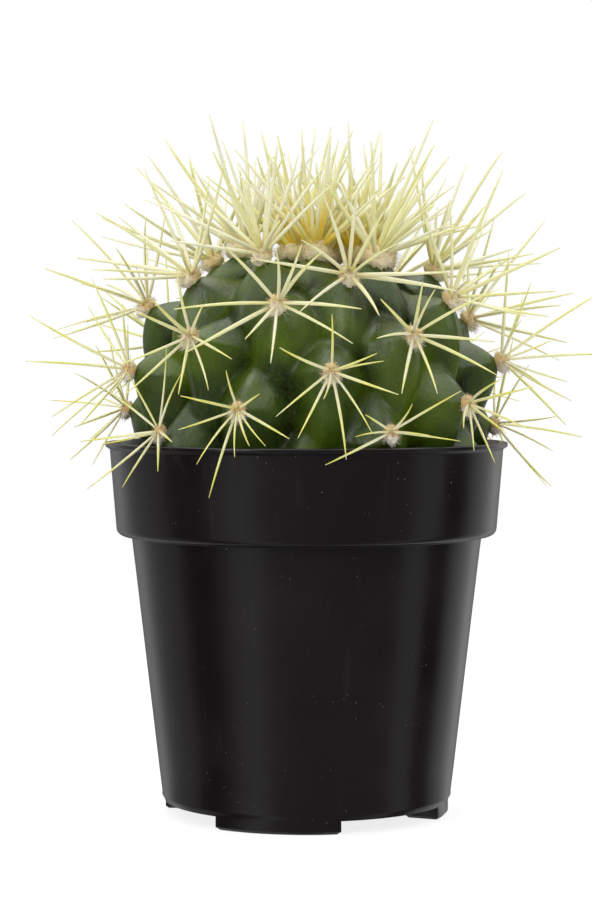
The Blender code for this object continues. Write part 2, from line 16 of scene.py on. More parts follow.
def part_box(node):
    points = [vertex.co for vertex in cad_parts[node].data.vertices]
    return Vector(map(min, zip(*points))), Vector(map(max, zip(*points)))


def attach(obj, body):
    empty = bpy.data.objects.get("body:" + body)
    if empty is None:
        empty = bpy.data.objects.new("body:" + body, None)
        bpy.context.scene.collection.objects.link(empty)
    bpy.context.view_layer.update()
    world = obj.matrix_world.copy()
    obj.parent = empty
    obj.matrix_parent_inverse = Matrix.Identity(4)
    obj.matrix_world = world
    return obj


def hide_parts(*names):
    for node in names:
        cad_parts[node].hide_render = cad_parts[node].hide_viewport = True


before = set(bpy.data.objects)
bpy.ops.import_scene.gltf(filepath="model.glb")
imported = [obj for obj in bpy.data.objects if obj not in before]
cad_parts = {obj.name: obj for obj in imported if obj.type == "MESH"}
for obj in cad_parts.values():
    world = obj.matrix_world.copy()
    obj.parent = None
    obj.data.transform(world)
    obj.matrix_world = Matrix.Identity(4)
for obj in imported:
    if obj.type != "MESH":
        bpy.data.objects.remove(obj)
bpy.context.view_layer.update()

MM = 0.001

# %% [markdown]
# Everything is placed from the pot, as a grower would: its axis and its lip are read from the frame's box,
# so they are not guessed. Angle 0 is the front, and angles grow to the right.

# %% Measure the pot in the frame
pot_low, pot_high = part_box("pot")
AXIS = Vector(((pot_low.x + pot_high.x) / 2, (pot_low.y + pot_high.y) / 2, 0.0))
LIP_RADIUS = (pot_high.x - pot_low.x) / 2
LIP_HEIGHT = pot_high.z
print("pot axis", AXIS, "lip radius", LIP_RADIUS, "lip height", LIP_HEIGHT)


def compass(angle, radius, height):
    """The point at this angle about the pot's axis."""
    return AXIS + Vector((radius * math.sin(angle), -radius * math.cos(angle), height))


# %% [markdown]
# Blender's operators act on whatever is selected, so each step starts with nothing selected but its
# own piece. These helpers do what a hand does between two operators.

# %% Helpers for working by hand
def only(piece):
    """Select this piece alone."""
    bpy.ops.object.select_all(action="DESELECT")
    piece.select_set(True)
    bpy.context.view_layer.objects.active = piece


def pick(piece, test):
    """Go into edit mode with just the faces selected whose centre passes the test."""
    only(piece)
    bpy.ops.object.mode_set(mode="EDIT")
    bpy.ops.mesh.select_mode(type="FACE")
    bpy.ops.mesh.select_all(action="DESELECT")
    bpy.ops.object.mode_set(mode="OBJECT")
    for face in piece.data.polygons:
        face.select = test(piece.matrix_world @ face.center, face)
    bpy.ops.object.mode_set(mode="EDIT")


def back_to_object():
    """Leave edit mode."""
    bpy.ops.object.mode_set(mode="OBJECT")


def settle(piece):
    """Put the piece's place into its mesh, so that its object sits at the origin."""
    only(piece)
    bpy.ops.object.transform_apply(location=True, rotation=True, scale=True)


def apply_modifiers(piece):
    """Apply every modifier, top to bottom."""
    only(piece)
    for modifier in list(piece.modifiers):
        bpy.ops.object.modifier_apply(modifier=modifier.name)


def hand_over(piece, slot, *nodes):
    """Hang the piece on the root body and hide the CAD nodes that it stands for; the slot, its finish's
    name, is not used.
    """
    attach(piece, "root")
    if nodes:
        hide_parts(*nodes)
    print(piece.name, "has", len(piece.data.polygons), "faces")


# %% [markdown]
# A finish is a small network of nodes. `screen` turns a colour as it looks on a screen into the
# linear values that the shader wants, and the two helpers under it add a node and join two nodes.

# %% Helpers for finishes
def screen(text):
    """A colour given as six hex digits, in linear light."""
    parts = [int(text[i:i + 2], 16) / 255 for i in (0, 2, 4)]
    return [c / 12.92 if c <= 0.04045 else ((c + 0.055) / 1.055) ** 2.4 for c in parts] + [1.0]


class Finish:
    """A material with a Principled shader, and short ways to add to it."""

    def __init__(self, name):
        self.material = bpy.data.materials.new(name)
        self.material.use_nodes = True
        self.tree = self.material.node_tree
        self.shader = self.tree.nodes["Principled BSDF"]

    def add(self, kind, settings=None, **values):
        """Add a node, with its settings and the values of its input sockets."""
        made = self.tree.nodes.new(kind)
        for key, value in (settings or {}).items():
            setattr(made, key, value)
        for key, value in values.items():
            made.inputs[key.replace("_", " ")].default_value = value
        return made

    def join(self, start, output, end, socket):
        """Link one node's output to another's input."""
        self.tree.links.new(start.outputs[output], end.inputs[socket])

    def noise(self, scale, detail=4.0, roughness=0.55, coordinates=None):
        """A noise pattern in object space."""
        made = self.add("ShaderNodeTexNoise", Scale=scale, Detail=detail, Roughness=roughness)
        self.join(coordinates or self.place(), 0 if coordinates else "Object", made, "Vector")
        return made

    def place(self):
        """Object coordinates."""
        return self.add("ShaderNodeTexCoord")

    def stretched(self, scale):
        """Object coordinates, stretched along the axes."""
        mapping = self.add("ShaderNodeMapping")
        mapping.inputs["Scale"].default_value = scale
        self.join(self.place(), "Object", mapping, "Vector")
        return mapping

    def attribute(self, name):
        """A value kept on the mesh's points."""
        return self.add("ShaderNodeAttribute", {"attribute_name": name})

    def ramp(self, source, output, stops):
        """Colours along a value: stops are (position, hex colour)."""
        made = self.add("ShaderNodeValToRGB")
        elements = made.color_ramp.elements
        while len(elements) < len(stops):
            elements.new(0.5)
        for element, (position, colour) in zip(elements, stops):
            element.position = position
            element.color = screen(colour)
        self.join(source, output, made, "Fac")
        return made

    def range(self, source, output, low, high, to_low, to_high):
        """Map one span of a value onto another."""
        made = self.add("ShaderNodeMapRange")
        for socket, value in zip(range(1, 5), (low, high, to_low, to_high)):
            made.inputs[socket].default_value = value
        self.join(source, output, made, 0)
        return made

    def mix(self, factor, output, first, second, kind="MIX"):
        """Mix two colour nodes by a factor."""
        made = self.add("ShaderNodeMix", {"data_type": "RGBA", "blend_type": kind})
        if isinstance(factor, float):
            made.inputs[0].default_value = factor
        else:
            self.join(factor, output, made, 0)
        for socket, source in ((6, first), (7, second)):
            if isinstance(source, str):
                made.inputs[socket].default_value = screen(source)
            else:
                colour = 2 if source.bl_idname == "ShaderNodeMix" else "Color"
                self.join(source, colour, made, socket)
        return made

    def bump(self, source, output, height, strength=1.0, before=None):
        """A fine relief of a given height in metres."""
        made = self.add("ShaderNodeBump", Strength=strength, Distance=height)
        self.join(source, output, made, "Height")
        if before:
            self.join(before, "Normal", made, "Normal")
        return made

    def colour(self, mix_node):
        """Send a mix to the shader's colour."""
        output = 2 if mix_node.bl_idname == "ShaderNodeMix" else "Color"
        self.join(mix_node, output, self.shader, "Base Color")


# %% [markdown]
# ## Camera, floor and light
# A long lens from a little above the pot's lip keeps the pot's sides nearly straight.
# The plant stands on a plain pale floor in a white room. The floor isn't seen in reflections, so the
# black plastic stays black, and big soft lights draw the long highlights down its sides.

# %% Camera
CAMERA_DISTANCE = 0.4290
CAMERA_HEIGHT = 0.0745
CAMERA_LEFT = 0.0017
CAMERA_TILT = math.radians(2.28)
LENS_MM = 104.3
bpy.ops.object.select_all(action="DESELECT")
camera_place = AXIS + Vector((-CAMERA_LEFT, -CAMERA_DISTANCE, CAMERA_HEIGHT))
bpy.ops.object.camera_add(location=camera_place, rotation=(math.pi / 2 - CAMERA_TILT, 0.0, 0.0))
camera = bpy.context.active_object
camera.name = "camera"
camera.data.lens = LENS_MM
camera.data.clip_start = 0.02
bpy.context.scene.camera = camera
bpy.context.scene.view_settings.view_transform = "Standard"
print("camera at", camera.location)

# %% Floor
FLOOR_SIZE = 3.0
FADE_START = 0.12
FADE_END = 0.55
bpy.ops.object.select_all(action="DESELECT")
bpy.ops.mesh.primitive_circle_add(vertices=96, radius=FLOOR_SIZE / 2, fill_type="NGON", location=(0, 0, 0))
floor = bpy.context.active_object
floor.name = "floor"
floor.visible_glossy = False
paper = Finish("white_floor")
grain = paper.noise(300.0, 2.0)
paper.colour(paper.ramp(grain, "Fac", ((0.3, "8a8a8a"), (0.7, "8e8e8e"))))
paper.shader.inputs["Roughness"].default_value = 0.9
paper.shader.inputs["Specular IOR Level"].default_value = 0.1
paper.shader.inputs["Emission Color"].default_value = (1.0, 1.0, 1.0, 1.0)
paper.shader.inputs["Emission Strength"].default_value = 0.82
clear = paper.add("ShaderNodeBsdfTransparent")
fade = paper.add("ShaderNodeMixShader")
reach = paper.add("ShaderNodeVectorMath", {"operation": "LENGTH"})
paper.join(paper.place(), "Object", reach, 0)
paper.join(paper.range(reach, "Value", FADE_START, FADE_END, 0.0, 1.0), "Result", fade, 0)
paper.join(paper.shader, "BSDF", fade, 1)
paper.join(clear, "BSDF", fade, 2)
paper.join(fade, "Shader", paper.tree.nodes["Material Output"], "Surface")
floor.data.materials.append(paper.material)

# %% Room light
ROOM_WHITE = 1.0
ROOM_AMBIENT = 0.52
ROOM_OVERHEAD = 0.46
FLAGS = ((-180, 0.10), (-160, 0.30), (-143, 0.66), (-125, 0.34), (-96, 0.27), (-86, 0.01), (-66, 0.01),
         (-58, 0.20), (-46, 0.48), (-36, 0.52), (-24, 0.22), (0, 0.16), (40, 0.12), (64, 0.14), (69, 0.42),
         (85, 0.42), (90, 0.02), (106, 0.02), (114, 0.40), (146, 0.80), (162, 0.30), (180, 0.10))
world = bpy.data.worlds.new("white_room")
bpy.context.scene.world = world
world.use_nodes = True
room = world.node_tree
for old in list(room.nodes):
    room.nodes.remove(old)


def room_node(kind, **settings):
    """Add a node to the room's light."""
    made = room.nodes.new(kind)
    for key, value in settings.items():
        setattr(made, key, value)
    return made


way = room_node("ShaderNodeTexCoord")
split = room_node("ShaderNodeSeparateXYZ")
room.links.new(way.outputs["Generated"], split.inputs[0])
front = room_node("ShaderNodeMath", operation="MULTIPLY")
front.inputs[1].default_value = -1.0
room.links.new(split.outputs["Y"], front.inputs[0])
bearing = room_node("ShaderNodeMath", operation="ARCTAN2")
room.links.new(split.outputs["X"], bearing.inputs[0])
room.links.new(front.outputs[0], bearing.inputs[1])
round_room = room_node("ShaderNodeMapRange")
for socket, value in zip(range(1, 5), (-math.pi, math.pi, 0.0, 1.0)):
    round_room.inputs[socket].default_value = value
room.links.new(bearing.outputs[0], round_room.inputs[0])
flags = room_node("ShaderNodeValToRGB")
elements = flags.color_ramp.elements
while len(elements) < len(FLAGS):
    elements.new(0.5)
for element, (degrees, level) in zip(elements, FLAGS):
    element.position = (degrees + 180) / 360
    element.color = (level, level, level, 1.0)
room.links.new(round_room.outputs[0], flags.inputs[0])
ceiling = room_node("ShaderNodeMapRange", interpolation_type="SMOOTHSTEP")
for socket, value in zip(range(1, 5), (0.35, 0.75, 0.0, 1.5)):
    ceiling.inputs[socket].default_value = value
room.links.new(split.outputs["Z"], ceiling.inputs[0])
mirrored = room_node("ShaderNodeMath", operation="ADD")
room.links.new(flags.outputs[0], mirrored.inputs[0])
room.links.new(ceiling.outputs[0], mirrored.inputs[1])
overhead = room_node("ShaderNodeMapRange")
for socket, value in zip(range(1, 5), (-0.2, 1.0, ROOM_AMBIENT, ROOM_AMBIENT + ROOM_OVERHEAD)):
    overhead.inputs[socket].default_value = value
room.links.new(split.outputs["Z"], overhead.inputs[0])
path = room_node("ShaderNodeLightPath")
seen, shone, soft = (room_node("ShaderNodeBackground") for _ in range(3))
seen.inputs["Strength"].default_value = ROOM_WHITE
room.links.new(mirrored.outputs[0], shone.inputs["Strength"])
room.links.new(overhead.outputs[0], soft.inputs["Strength"])
by_gloss, by_sight = room_node("ShaderNodeMixShader"), room_node("ShaderNodeMixShader")
output = room_node("ShaderNodeOutputWorld")
for light in (seen, shone, soft):
    light.inputs["Color"].default_value = (1.0, 1.0, 1.0, 1.0)
room.links.new(path.outputs["Is Glossy Ray"], by_gloss.inputs[0])
room.links.new(soft.outputs[0], by_gloss.inputs[1])
room.links.new(shone.outputs[0], by_gloss.inputs[2])
room.links.new(path.outputs["Is Camera Ray"], by_sight.inputs[0])
room.links.new(by_gloss.outputs[0], by_sight.inputs[1])
room.links.new(seen.outputs[0], by_sight.inputs[2])
room.links.new(by_sight.outputs[0], output.inputs[0])


# %% Soft lights
def softbox(name, angle, distance, height, width, tall, watts, aim_height=0.06):
    """A rectangular soft light that faces the plant."""
    place = compass(math.radians(angle), distance, height)
    bpy.ops.object.select_all(action="DESELECT")
    bpy.ops.object.light_add(type="AREA", location=place)
    light = bpy.context.active_object
    light.name = name
    light.data.shape = "RECTANGLE"
    light.data.size = width
    light.data.size_y = tall
    light.data.energy = watts
    aim = compass(0.0, 0.0, aim_height) - place
    light.rotation_euler = aim.to_track_quat("-Z", "Y").to_euler()
    return light


softbox("top_light", 200, 0.12, 0.75, 0.5, 0.5, 1.7)
softbox("left_light", -41, 0.85, 0.45, 0.30, 0.6, 2.2)
softbox("right_light", 60, 0.9, 0.6, 0.3, 0.4, 1.0)

# %% [markdown]
# ## The pot
# The real pot is a thin moulded cup: a flared lip, a stepped-out rim band, a tapering body with a
# faint seam near its foot, and three feet with gaps between them for the water. It could be turned
# from a curve. Here it starts as a circle whose edge is extruded ring by ring, down the outside and
# up the inside, because that is how the wall keeps one even thickness that can be seen at the lip.

# %% Pot: sizes
BAND_HEIGHT = 15.0 * MM
LIP_PROUD = 0.65 * MM
LIP_FACE = 0.55 * MM
LIP_FALL = 0.1 * MM
LIP_DEPTH = 1.6 * MM
BAND_TAPER = 1.1 * MM
BAND_CORNER = 1.2 * MM
LEDGE_WIDTH = 2.5 * MM
BASE_RADIUS = 23.4 * MM
FOOT_HEIGHT = 2.1 * MM
FOOT_WIDTH = 5.6 * MM
BASE_BAND = 0.9 * MM
WALL = 0.75 * MM
FLOOR = 0.8 * MM
FOOT_SPANS = ((-38.5, 14), (65, 140), (190, 266))
DRAIN_ANGLES = (40, 165, 292.5)
DRAIN_CIRCLE = 13.0 * MM
DRAIN_RADIUS = 3.5 * MM
DRAIN_SIDES = 40
DRAIN_CUT_DEPTH = 6.0 * MM
MIDDLE_DRAIN_RADIUS = 4.5 * MM
BASE_STEP = 0.4 * MM
POT_SIDES = 216
LEDGE_HEIGHT = LIP_HEIGHT - BAND_HEIGHT
BAND_FOOT_RADIUS = LIP_RADIUS - LIP_PROUD - BAND_TAPER
BODY_TOP_RADIUS = BAND_FOOT_RADIUS - LEDGE_WIDTH


def round_corner(radius, height, size, start, end, steps=5):
    """Points of a quarter round about a centre."""
    turns = [math.radians(start + (end - start) * i / steps) for i in range(steps + 1)]
    return [(radius + size * math.cos(t), height + size * math.sin(t)) for t in turns]


# %% Pot: profile, down the outside and up the inside
lip_edge = 0.22 * MM
profile = round_corner(LIP_RADIUS - lip_edge, LIP_HEIGHT - lip_edge, lip_edge, 90, 0, 3)
profile += round_corner(LIP_RADIUS - lip_edge, LIP_HEIGHT - LIP_FACE, lip_edge, 0, -70, 3)
profile += [(LIP_RADIUS - LIP_PROUD - 0.06 * MM, LIP_HEIGHT - 1.1 * MM)]
profile += [(LIP_RADIUS - LIP_PROUD - LIP_FALL, LIP_HEIGHT - LIP_DEPTH)]
for step in range(1, 5):
    share = step / 5
    radius = LIP_RADIUS - LIP_PROUD - LIP_FALL - (BAND_TAPER - LIP_FALL) * share
    profile.append((radius, LIP_HEIGHT - LIP_DEPTH - (BAND_HEIGHT - LIP_DEPTH - BAND_CORNER) * share))
profile += round_corner(BAND_FOOT_RADIUS - BAND_CORNER, LEDGE_HEIGHT + BAND_CORNER, BAND_CORNER, 0, -90)
profile += [(BODY_TOP_RADIUS + 0.35 * MM, LEDGE_HEIGHT)]
profile += [(BODY_TOP_RADIUS + 0.05 * MM, LEDGE_HEIGHT - 0.25 * MM)]
seam = FOOT_HEIGHT + BASE_BAND
for step in range(1, 9):
    share = step / 9
    height = LEDGE_HEIGHT - 0.4 * MM - (LEDGE_HEIGHT - 0.4 * MM - seam) * share
    profile.append((BODY_TOP_RADIUS + (BASE_RADIUS - BODY_TOP_RADIUS) * share, height))
profile += [(BASE_RADIUS, seam + 0.25 * MM), (BASE_RADIUS + 0.05 * MM, seam + 0.1 * MM)]
profile += [(BASE_RADIUS + 0.02 * MM, seam - 0.05 * MM), (BASE_RADIUS - 0.25 * MM, seam - 0.5 * MM)]
outer_base = BASE_RADIUS - BASE_STEP
profile += [(outer_base, FOOT_HEIGHT)]
profile += [(outer_base - FOOT_WIDTH, FOOT_HEIGHT), (8.0 * MM, FOOT_HEIGHT + 0.1 * MM)]
profile += [(MIDDLE_DRAIN_RADIUS, FOOT_HEIGHT + 0.1 * MM), (MIDDLE_DRAIN_RADIUS, FOOT_HEIGHT + FLOOR)]
profile += [(BASE_RADIUS - WALL, FOOT_HEIGHT + FLOOR), (BODY_TOP_RADIUS - WALL, LEDGE_HEIGHT + WALL)]
profile += [(BAND_FOOT_RADIUS - BAND_CORNER - WALL, LEDGE_HEIGHT + WALL)]
profile += [(BAND_FOOT_RADIUS - WALL, LEDGE_HEIGHT + BAND_CORNER + WALL)]
profile += [(LIP_RADIUS - LIP_PROUD - WALL, LIP_HEIGHT - 0.5 * MM)]
profile += [(LIP_RADIUS - LIP_PROUD - WALL + 0.15 * MM, LIP_HEIGHT)]
print("pot profile has", len(profile), "rings")

# %% Pot: extrude the rings
bpy.ops.object.select_all(action="DESELECT")
top_radius, top_height = profile[0]
top_place = AXIS + Vector((0, 0, top_height))
bpy.ops.mesh.primitive_circle_add(vertices=POT_SIDES, radius=top_radius, location=top_place)
pot = bpy.context.active_object
pot.name = "pot_moulding"
bpy.ops.object.mode_set(mode="EDIT")
bpy.ops.mesh.select_all(action="SELECT")
bpy.context.scene.tool_settings.transform_pivot_point = "MEDIAN_POINT"
for (radius, height), (next_radius, next_height) in zip(profile, profile[1:]):
    bpy.ops.mesh.extrude_edges_move(TRANSFORM_OT_translate={"value": (0, 0, next_height - height)})
    share = next_radius / radius
    bpy.ops.transform.resize(value=(share, share, 1.0))
bpy.ops.mesh.select_all(action="SELECT")
bpy.ops.mesh.select_mode(type="EDGE")
bpy.ops.mesh.select_all(action="DESELECT")
bpy.ops.mesh.select_non_manifold()
bpy.ops.mesh.bridge_edge_loops()
bpy.ops.mesh.select_all(action="SELECT")
bpy.ops.mesh.normals_make_consistent(inside=False)
back_to_object()
settle(pot)
print("pot rings:", len(pot.data.vertices) // POT_SIDES)


# %% Pot: feet and drain holes
def in_foot(spot, face):
    """Whether a face of the base's outer ring belongs to a foot."""
    out = spot - AXIS
    reach = math.hypot(out.x, out.y)
    ring = outer_base - FOOT_WIDTH < reach < outer_base
    angle = math.degrees(math.atan2(out.x, -out.y)) % 360
    return ring and abs(spot.z - FOOT_HEIGHT) < 0.05 * MM and any(
        0 < (angle - start) % 360 < end - start for start, end in FOOT_SPANS)


FOOT_CHAMFER = 0.45 * MM
pick(pot, in_foot)
bpy.ops.mesh.extrude_region_move(TRANSFORM_OT_translate={"value": (0, 0, -FOOT_HEIGHT + FOOT_CHAMFER)})
bpy.ops.mesh.extrude_region_move(TRANSFORM_OT_translate={"value": (0, 0, -FOOT_CHAMFER)})
back_to_object()
middle = outer_base - FOOT_WIDTH / 2
for vert in pot.data.vertices:
    if vert.co.z > 0.05 * MM:
        continue
    out = vert.co - AXIS
    reach = math.hypot(out.x, out.y)
    drawn = (reach + (-FOOT_CHAMFER if reach > middle else FOOT_CHAMFER)) / reach
    angle = math.degrees(math.atan2(out.x, -out.y)) % 360
    for start, end in FOOT_SPANS:
        half = (end - start) / 2
        offset = (angle - start - half + 180) % 360 - 180
        if abs(offset) < half + 1:
            offset *= 1 - 1.6 / half * (abs(offset) > half - 1)
            turn = math.radians(start + half + offset)
            vert.co = compass(turn, reach * drawn, 0.0)
for degrees in DRAIN_ANGLES:
    bpy.ops.object.select_all(action="DESELECT")
    place = compass(math.radians(degrees), DRAIN_CIRCLE, FOOT_HEIGHT)
    bpy.ops.mesh.primitive_cylinder_add(
        vertices=DRAIN_SIDES, radius=DRAIN_RADIUS, depth=DRAIN_CUT_DEPTH, location=place)
    cutter = bpy.context.active_object
    drain = pot.modifiers.new("drain", "BOOLEAN")
    drain.object = cutter
    apply_modifiers(pot)
    bpy.data.objects.remove(cutter)
edge = pot.modifiers.new("edge", "BEVEL")
edge.width = 0.1 * MM
edge.segments = 2
edge.limit_method = "ANGLE"
edge.angle_limit = math.radians(50)
apply_modifiers(pot)
only(pot)
bpy.ops.object.shade_smooth_by_angle(angle=math.radians(35))
print("pot faces", len(pot.data.polygons))

# %% [markdown]
# Polypropylene straight from the mould is nearly black with a satin shine. Up close it has a fine
# orange-peel skin, faint vertical scuffs from handling, and pale dust that sits in it as specks.

# %% Pot: black plastic
plastic = Finish("black_moulded_plastic")
smudge = plastic.noise(55.0, 5.0, 0.6)
scuffs = plastic.noise(420.0, 3.0, 0.6, plastic.stretched((1.0, 1.0, 0.06)))
tone = plastic.ramp(smudge, "Fac", ((0.3, "110d0f"), (0.75, "191517")))
scuffed = plastic.mix(plastic.range(scuffs, "Fac", 0.62, 0.8, 0.0, 0.3), "Result", tone, "2c2a2d")
specks = plastic.add("ShaderNodeTexVoronoi", {"feature": "F1"}, Scale=900.0)
plastic.join(plastic.place(), "Object", specks, "Vector")
speck = plastic.range(specks, "Distance", 0.02, 0.13, 1.0, 0.0)
where = plastic.range(plastic.noise(160.0, 4.0, 0.7), "Fac", 0.52, 0.72, 0.0, 0.75)
dust = plastic.add("ShaderNodeMath", {"operation": "MULTIPLY"})
plastic.join(speck, "Result", dust, 0)
plastic.join(where, "Result", dust, 1)
plastic.colour(plastic.mix(dust, "Value", scuffed, "8f8c86"))
gloss = plastic.range(smudge, "Fac", 0.3, 0.75, 0.17, 0.27)
plastic.join(gloss, "Result", plastic.shader, "Roughness")
plastic.shader.inputs["Specular IOR Level"].default_value = 0.42
peel = plastic.bump(plastic.noise(900.0, 2.0), "Fac", 0.02 * MM, 0.25)
plastic.join(plastic.bump(smudge, "Fac", 0.25 * MM, 0.15, peel), "Normal", plastic.shader, "Normal")
pot.data.materials.append(plastic.material)
hand_over(pot, "pot_plastic", "pot")

# %% [markdown]
# ## The stem
# The stem grew as one piece. Each tubercle is a blunt chin: a shelf on top, a rounded nose that
# carries the wool, and an underside that falls away to the next row. They follow a golden spiral, so
# their places come from one formula, the same one that the frame's stem was built with. A UV sphere
# gives even rows of points from pole to pole, and each point is then moved out to the skin.

# %% Stem: the spiral and the dome
STEM_RADIUS = 30.4 * MM
DOME_HEIGHT = 23.8 * MM
EQUATOR_HEIGHT = LIP_HEIGHT + 9.1 * MM
CROWN_DIP = 3.6 * MM
CROWN_DIP_ANGLE = math.radians(20)
GROWTH_ANGLE = math.radians(137.8)
FIRST_ANGLE = math.radians(22.4)
FIRST_STEP = 0.634
DOME_STEPS = 29.15
SIDE_STEP = 1.356 * MM
FRONT_CROWDING = 0.163
TUBERCLES = 37
NOSE_HEIGHT = 0.44
NOSE_HALF_WIDTH = 0.50
NOSE_SHELF = 0.56
NOSE_CHIN = 1.20
SIDE_ROUNDNESS = 1.5
SHELF_ROUNDNESS = 1.25
CHIN_ROUNDNESS = 1.15
CREASE_ROUNDING = 0.9 * MM
LEAN_RIGHT = math.radians(3.66)
LEAN_FRONT = math.radians(1.26)
PIVOT_HEIGHT = LIP_HEIGHT - 10 * MM
STEM_OFFSET = (-0.1 * MM, -0.4 * MM, PIVOT_HEIGHT)
LEAN = (Matrix.Translation(AXIS + Vector(STEM_OFFSET))
        @ Matrix.Rotation(LEAN_RIGHT, 4, "Y") @ Matrix.Rotation(LEAN_FRONT, 4, "X")
        @ Matrix.Translation((0.0, 0.0, -PIVOT_HEIGHT)))


def dome(step):
    """Radius, height and slope angle of the dome, after this many steps of growth from the crown."""
    phi = np.minimum(step / DOME_STEPS, 1.0) * math.pi / 2
    dip = CROWN_DIP * np.exp(-((phi / CROWN_DIP_ANGLE) ** 2))
    below = np.maximum(step - DOME_STEPS, 0.0) * SIDE_STEP
    return STEM_RADIUS * np.sin(phi), EQUATOR_HEIGHT + DOME_HEIGHT * np.cos(phi) - dip - below, phi


numbers = np.arange(TUBERCLES + 4)
nose_angles = FIRST_ANGLE + numbers * GROWTH_ANGLE
nose_angles = nose_angles - FRONT_CROWDING * np.sin(nose_angles)
nose_steps = FIRST_STEP + numbers
nose_radii = dome(nose_steps)[0]
nose_spacing = np.sqrt(math.tau * nose_radii * SIDE_STEP)
spacing_ends = [round(nose_spacing[end] / MM, 1) for end in (0, -1)]
print("tubercles", TUBERCLES, "spacing in mm, first and last", spacing_ends)


# %% Stem: the tubercles' relief
def relief(angle, step):
    """How far the skin stands below the dome, and how near each point is to a nose, from 0 to 1."""
    radius = dome(step)[0]
    total = np.zeros_like(angle)
    near = np.zeros_like(angle)
    noses = zip(nose_angles, nose_steps, nose_radii, nose_spacing)
    for nose_angle, nose_step, nose_radius, spacing in noses:
        turn = (angle - nose_angle + math.pi) % math.tau - math.pi
        across = np.abs(turn) * (radius + nose_radius) / 2 / spacing
        up = (nose_step - step) * SIDE_STEP / spacing
        shelf = (np.maximum(up, 0.0) / NOSE_SHELF) ** SHELF_ROUNDNESS
        chin = (np.maximum(-up, 0.0) / NOSE_CHIN) ** CHIN_ROUNDNESS
        side = (across / NOSE_HALF_WIDTH) ** SIDE_ROUNDNESS
        fall = np.minimum(side + shelf + chin, 20.0)
        total += np.exp(-NOSE_HEIGHT * spacing * fall / CREASE_ROUNDING)
        near = np.maximum(near, 1.0 - np.minimum(fall, 1.0))
    deepest = NOSE_HEIGHT * np.sqrt(math.tau * np.maximum(radius, 3 * MM) * SIDE_STEP)
    total += np.exp(-deepest / CREASE_ROUNDING)
    return CREASE_ROUNDING * np.log(total), near


# %% Stem: the skin, point by point
BASE_BELOW_LIP = 14.0 * MM
NECK_BELOW_LIP = 1.5 * MM
LAST_STEP = DOME_STEPS + (EQUATOR_HEIGHT - LIP_HEIGHT + BASE_BELOW_LIP) / SIDE_STEP
NECK_RADIUS = 15.0 * MM
NECK_TOP_RADIUS = STEM_RADIUS * (1 - NOSE_HEIGHT / 2)
LIP_CLEARANCE = 1.0 * MM


def skin(angle, step):
    """Points of the skin in the stem's own frame, about the pot's axis, and the nearness to a nose."""
    radius, height, phi = dome(step)
    depth, near = relief(angle, step)
    reach = np.maximum(radius + depth * np.sin(phi), 0.0)
    neck_height = BASE_BELOW_LIP - NECK_BELOW_LIP
    share = np.clip((height - LIP_HEIGHT + BASE_BELOW_LIP) / neck_height, 0.0, 1.0)
    neck = NECK_RADIUS + (NECK_TOP_RADIUS - NECK_RADIUS) * np.sqrt(share)
    reach = np.where(height < LIP_HEIGHT - NECK_BELOW_LIP, np.minimum(reach, neck), reach)
    points = np.stack((reach * np.sin(angle), -reach * np.cos(angle), height + depth * np.cos(phi)), axis=-1)
    return points, near


def leaned(points):
    """Lean the stem's own frame over, and draw it in where it would touch the pot's lip."""
    turn = np.array(LEAN.to_3x3())
    placed = points @ turn.T + np.array(LEAN.translation)
    out = placed[:, :2] - np.array(AXIS.xy)
    limit = LIP_RADIUS - LIP_PROUD - WALL - LIP_CLEARANCE + np.maximum(placed[:, 2] - LIP_HEIGHT, 0.0)
    share = np.minimum(1.0, limit / np.maximum(np.hypot(out[:, 0], out[:, 1]), MM))
    placed[:, :2] = np.array(AXIS.xy) + out * share[:, None]
    return placed


# %% Stem: from sphere to skin
STEM_SEGMENTS = 300
STEM_RINGS = 200
ROW_SPREAD = 0.93
bpy.ops.object.select_all(action="DESELECT")
bpy.ops.mesh.primitive_uv_sphere_add(segments=STEM_SEGMENTS, ring_count=STEM_RINGS, location=(0, 0, 0))
stem = bpy.context.active_object
stem.name = "stem_body"
ball = np.empty(len(stem.data.vertices) * 3)
stem.data.vertices.foreach_get("co", ball)
ball = ball.reshape(-1, 3)
angle = np.arctan2(ball[:, 0], -ball[:, 1])
step = LAST_STEP * (np.arccos(np.clip(ball[:, 2], -1, 1)) / math.pi) ** ROW_SPREAD
points, near = skin(angle, step)
placed = leaned(points)
inwards = -(placed - np.array(compass(0.0, 0.0, LIP_HEIGHT + 5 * MM)))
inwards /= np.linalg.norm(inwards, axis=1)[:, None]
wrinkle = np.array([noise.noise(Vector((p[0] * 260, p[1] * 260, p[2] * 90))) for p in placed])
SWELL_START = Vector((7, 3, 1))
swell = np.array([noise.noise(Vector(p * 110) + SWELL_START) for p in placed])
placed += inwards * (wrinkle * 0.07 * MM + swell * 0.22 * MM)[:, None]
stem.data.vertices.foreach_set("co", placed.ravel())
stem.data.attributes.new("near_nose", "FLOAT", "POINT").data.foreach_set("value", near.astype(np.float32))
stem.data.update()
only(stem)
bpy.ops.object.shade_smooth()
print("stem points", len(placed))
